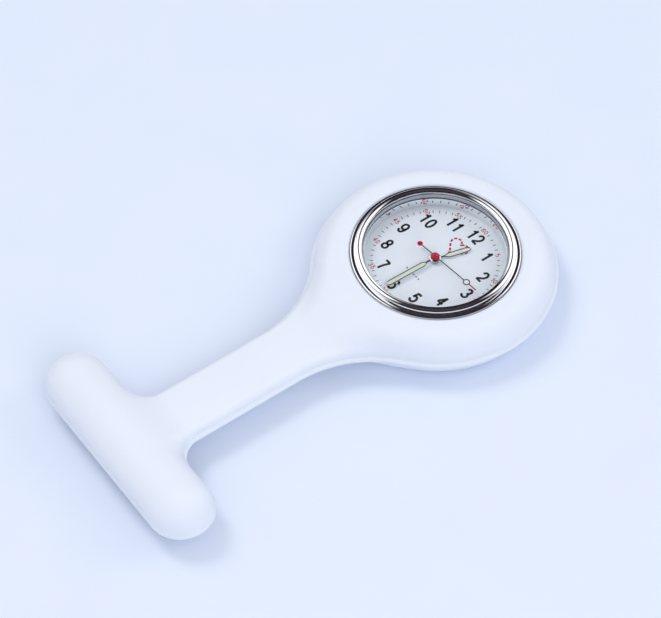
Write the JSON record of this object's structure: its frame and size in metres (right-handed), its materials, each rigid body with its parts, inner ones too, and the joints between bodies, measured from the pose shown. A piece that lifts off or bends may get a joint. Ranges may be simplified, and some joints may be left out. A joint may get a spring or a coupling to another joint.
{
  "type": "fob watch",
  "caption": "Round quartz fob watch in a one-piece white silicone cover, hanging from a strap and a horizontal bar with a safety-catch brooch pin behind it.",
  "frame": {"origin": "middle of the whole outline in plan, on the surface the watch lies on with its dial up", "axes": "+Z out of the dial, +Y from the pin bar towards 12 o'clock, +X towards 3 o'clock"},
  "size_m": [0.0408, 0.0862, 0.0099],
  "materials": {
    "white_silicone": "matt satin white silicone",
    "polished_steel": "mirror polished",
    "brushed_steel": "fine brushed",
    "brass": "satin",
    "copper_wire": "enamelled copper wire",
    "holder_plastic": "matt",
    "wheel_plastic": "moulded, smooth",
    "black_plastic": "matt",
    "grey_rubber": "matt",
    "circuit_green": "solder resist over glass fibre",
    "mineral_glass": "clear, polished",
    "dial_paint": "satin white lacquer",
    "red_lacquer": "gloss lacquer"
  },
  "bodies": {
    "cover": {"silicone_body": "white_silicone", "case": "brushed_steel", "case_back": "brushed_steel", "case_back_gasket": "grey_rubber", "bezel": "polished_steel", "crystal": "mineral_glass", "crystal_gasket": "grey_rubber", "rehaut_ring": "polished_steel", "dial": "dial_paint", "movement_holder": "holder_plastic", "main_plate": "holder_plastic", "train_bridge": "brushed_steel", "movement_screw_1": "polished_steel", "movement_screw_2": "polished_steel", "movement_screw_3": "polished_steel", "battery": "polished_steel", "battery_clamp": "brushed_steel", "negative_contact": "brass", "circuit_board": "circuit_green", "circuit_chip": "black_plastic", "quartz_crystal": "brushed_steel", "coil_core": "brushed_steel", "coil_winding": "copper_wire", "stator": "brushed_steel", "brooch_plate": "brushed_steel", "hinge_rivet": "polished_steel"},
    "seconds_work": {"seconds_wheel": "brass", "second_hand": "red_lacquer"},
    "rotor_work": {"rotor": "black_plastic"},
    "intermediate_work": {"intermediate_wheel": "wheel_plastic"},
    "third_work": {"third_wheel": "wheel_plastic"},
    "minutes_work": {"centre_wheel": "brass", "minute_hand": "polished_steel"},
    "minute_wheel_work": {"minute_wheel": "brass"},
    "hours_work": {"hour_wheel": "brass", "hour_hand": "polished_steel"},
    "setting_work": {"setting_wheel": "brass"},
    "crown_seal": {"crown_gasket": "grey_rubber"},
    "crown_work": {"crown": "polished_steel", "stem": "polished_steel"},
    "clutch_work": {"clutch_pinion": "polished_steel"},
    "lever_work": {"setting_lever": "brushed_steel"},
    "yoke_work": {"yoke": "brushed_steel"},
    "needle_work": {"needle": "polished_steel"},
    "collar_work": {"safety_collar": "polished_steel"}
  },
  "joints": [
    {"name": "seconds_turn", "type": "hinge", "parent": "cover", "child": "seconds_work", "pos_m": [0, 0.02267, 0], "axis": [0, 0, -1], "continuous": true},
    {"name": "rotor_turn", "type": "hinge", "parent": "cover", "child": "rotor_work", "pos_m": [0.00254, 0.02531, 0.0035], "axis": [0, 0, -1], "continuous": true},
    {"name": "intermediate_turn", "type": "hinge", "parent": "cover", "child": "intermediate_work", "pos_m": [0.0017, 0.02385, 0.0035], "axis": [0, 0, -1], "continuous": true},
    {"name": "third_turn", "type": "hinge", "parent": "cover", "child": "third_work", "pos_m": [-0.0012, 0.02426, 0.0035], "axis": [0, 0, -1], "continuous": true},
    {"name": "minutes_turn", "type": "hinge", "parent": "cover", "child": "minutes_work", "pos_m": [0, 0.02267, 0], "axis": [0, 0, -1], "continuous": true},
    {"name": "minute_wheel_turn", "type": "hinge", "parent": "cover", "child": "minute_wheel_work", "pos_m": [0.00169, 0.02205, 0.0054], "axis": [0, 0, -1], "continuous": true},
    {"name": "hours_turn", "type": "hinge", "parent": "cover", "child": "hours_work", "pos_m": [0, 0.02267, 0], "axis": [0, 0, -1], "continuous": true},
    {"name": "setting_wheel_turn", "type": "hinge", "parent": "cover", "child": "setting_work", "pos_m": [0.00386, 0.02263, 0.0054], "axis": [0, 0, -1], "continuous": true},
    {"name": "crown_pull", "type": "slide", "parent": "cover", "child": "crown_seal", "axis": [1, 0, 0], "range_m": [0, 0.0008]},
    {"name": "crown_turn", "type": "hinge", "parent": "crown_seal", "child": "crown_work", "pos_m": [0.01375, 0.02267, 0.00475], "axis": [1, 0, 0], "continuous": true},
    {"name": "clutch_slide", "type": "slide", "parent": "crown_work", "child": "clutch_work", "axis": [1, 0, 0], "range_m": [-0.0014, 0]},
    {"name": "lever_swing", "type": "hinge", "parent": "cover", "child": "lever_work", "pos_m": [0.0067, 0.02516, 0.0054], "axis": [0, 0, 1], "range_deg": [0, 18.18]},
    {"name": "yoke_swing", "type": "hinge", "parent": "cover", "child": "yoke_work", "pos_m": [0.00555, 0.02016, 0.0054], "axis": [0, 0, 1], "range_deg": [0, 13.69]},
    {"name": "needle_swing", "type": "hinge", "parent": "cover", "child": "needle_work", "pos_m": [-0.0146, -0.03764, 0.00112], "axis": [0, 1, 0], "range_deg": [0, 85]},
    {"name": "collar_turn", "type": "hinge", "parent": "cover", "child": "collar_work", "pos_m": [0.0145, -0.03764, 0.00112], "axis": [1, 0, 0], "range_deg": [0, 160]}
  ],
  "couplings": [
    {"joint": "intermediate_turn", "follows": "seconds_turn", "ratio": -5},
    {"joint": "rotor_turn", "follows": "seconds_turn", "ratio": 30},
    {"joint": "third_turn", "follows": "seconds_turn", "ratio": -0.13333},
    {"joint": "minutes_turn", "follows": "seconds_turn", "ratio": 0.016667},
    {"joint": "minute_wheel_turn", "follows": "seconds_turn", "ratio": -0.0055556},
    {"joint": "hours_turn", "follows": "seconds_turn", "ratio": 0.0013889},
    {"joint": "setting_wheel_turn", "follows": "seconds_turn", "ratio": 0.0083333},
    {"joint": "clutch_slide", "follows": "crown_pull", "ratio": -1.75},
    {"joint": "lever_swing", "follows": "crown_pull", "rad_per_m": 396.65},
    {"joint": "yoke_swing", "follows": "crown_pull", "rad_per_m": 298.58}
  ]
}
